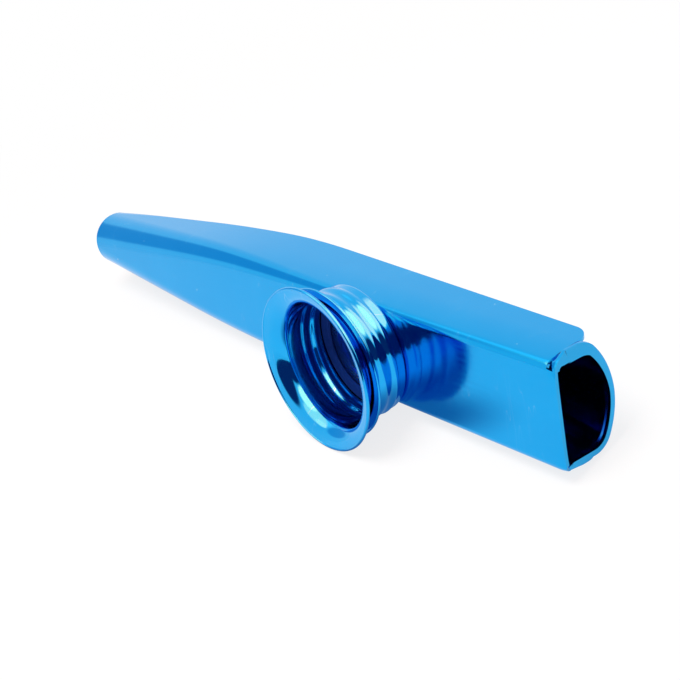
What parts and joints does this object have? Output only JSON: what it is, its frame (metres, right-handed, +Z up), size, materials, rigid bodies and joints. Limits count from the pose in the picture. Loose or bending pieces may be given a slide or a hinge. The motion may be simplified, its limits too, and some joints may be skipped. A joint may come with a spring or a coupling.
{
  "type": "kazoo",
  "caption": "Metal kazoo lying on its side: tapered sheet body with lapped seams, open mouth end, narrow round outlet, and a screw-on turret crown that clamps a buzzing membrane.",
  "frame": {"origin": "middle of the lowest face of the kazoo's box, as it lies on its side on a table", "axes": "+X along the body to the mouth end, -Y the way the turret points, +Z up"},
  "size_m": [0.12, 0.0244, 0.0231],
  "materials": {
    "body_anodised": "blue anodised, semi-gloss",
    "turret_anodised": "blue anodised, polished",
    "membrane_card": "dark card ring",
    "membrane_skin": "clear thin film"
  },
  "bodies": {
    "body": {"turret_half": "body_anodised", "back_half": "body_anodised", "turret_cup": "turret_anodised"},
    "membrane": {"membrane_ring": "membrane_card", "membrane_film": "membrane_skin"},
    "crown": {"crown": "turret_anodised"}
  },
  "joints": [
    {"name": "membrane_lift", "type": "slide", "parent": "body", "child": "membrane", "axis": [0, -0.9651, 0.2617], "range_m": [0, 0.00605]},
    {"name": "crown_turn", "type": "hinge", "parent": "membrane", "child": "crown", "pos_m": [0.022, -0.00036, 0.00927], "axis": [0, -0.9651, 0.2617], "range_deg": [0, 1080]}
  ],
  "couplings": [
    {"joint": "membrane_lift", "follows": "crown_turn", "m_per_rad": 0.00031831}
  ]
}
